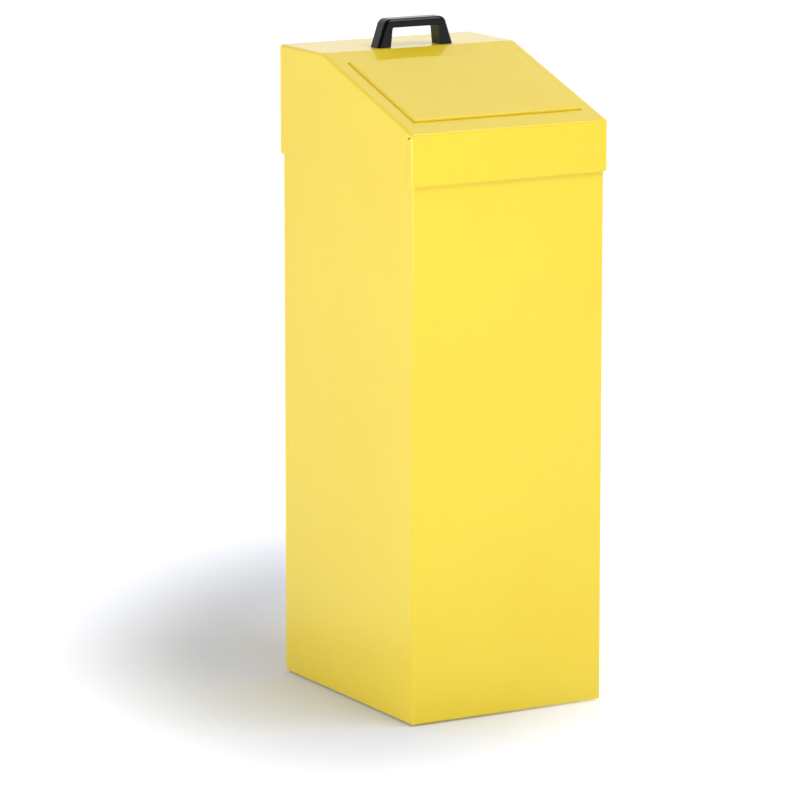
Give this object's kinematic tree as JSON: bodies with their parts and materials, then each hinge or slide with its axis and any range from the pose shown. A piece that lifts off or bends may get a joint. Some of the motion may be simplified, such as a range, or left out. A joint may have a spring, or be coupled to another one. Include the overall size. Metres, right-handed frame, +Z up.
{
  "type": "collection bin with push flap",
  "caption": "Tall square sheet-steel collection bin with a lift-off sloping hood, a self-closing push flap, a bridge handle on top and a lift-out liner.",
  "frame": {"origin": "on the floor, below the middle of the hood, which overhangs the body by the same amount all round", "axes": "+X across the front to the right as seen from the front, +Y towards the back, +Z up; the front with the low edge of the slope faces -Y"},
  "size_m": [0.328, 0.395, 0.998],
  "materials": {
    "yellow_coat": "smooth glossy yellow powder coat on folded sheet steel",
    "black_plastic": "black moulded plastic, semi-gloss",
    "foot_plastic": "black matt plastic",
    "galvanised": "hot-dip galvanised sheet with a fine spangle",
    "zinc_plated": "bright zinc plated steel",
    "spring_wire": "oiled spring steel wire",
    "brass": "turned brass",
    "bush_nylon": "natural nylon",
    "buffer_rubber": "black rubber"
  },
  "bodies": {
    "bin_body": {"body_wrap": "yellow_coat", "back_panel": "yellow_coat", "base_tray": "yellow_coat", "foot_front_left": "foot_plastic", "foot_front_right": "foot_plastic", "foot_back_left": "foot_plastic", "foot_back_right": "foot_plastic"},
    "hood": {"hood_shell": "yellow_coat", "hood_rest_left": "yellow_coat", "hood_rest_right": "yellow_coat", "hinge_ear_left": "zinc_plated", "hinge_ear_right": "zinc_plated", "hinge_rod": "zinc_plated", "rod_clip_left": "zinc_plated", "rod_clip_right": "zinc_plated", "spring_left": "spring_wire", "spring_right": "spring_wire", "handle": "black_plastic", "handle_inserts": "brass", "handle_washers": "zinc_plated", "handle_screws": "zinc_plated"},
    "flap": {"flap_pan": "yellow_coat", "flap_bush_left": "bush_nylon", "flap_bush_right": "bush_nylon", "spring_hook_left": "spring_wire", "spring_hook_right": "spring_wire", "buffer_left": "buffer_rubber", "buffer_right": "buffer_rubber"},
    "liner": {"liner_wall": "galvanised", "liner_floor": "galvanised", "liner_plate_front": "galvanised", "liner_plate_back": "galvanised", "liner_rivets": "zinc_plated"},
    "front_loop": {"liner_loop_front": "zinc_plated"},
    "back_loop": {"liner_loop_back": "zinc_plated"}
  },
  "joints": [
    {"name": "hood_lift", "type": "slide", "parent": "bin_body", "child": "hood", "axis": [0, 0, 1], "range_m": [0, 0.3]},
    {"name": "flap_hinge", "type": "hinge", "parent": "hood", "child": "flap", "pos_m": [0, 0.02402, 0.93284], "axis": [1, 0, 0], "range_deg": [0, 60], "stiffness_Nm_per_rad": 0.35, "springref_deg": -148.97},
    {"name": "liner_lift", "type": "slide", "parent": "bin_body", "child": "liner", "axis": [0, 0, 1], "range_m": [0, 0.09]},
    {"name": "front_loop_hinge", "type": "hinge", "parent": "liner", "child": "front_loop", "pos_m": [0, -0.16915, 0.705], "axis": [1, 0, 0], "range_deg": [0, 90]},
    {"name": "back_loop_hinge", "type": "hinge", "parent": "liner", "child": "back_loop", "pos_m": [0, 0.16915, 0.705], "axis": [-1, 0, 0], "range_deg": [0, 90]}
  ]
}
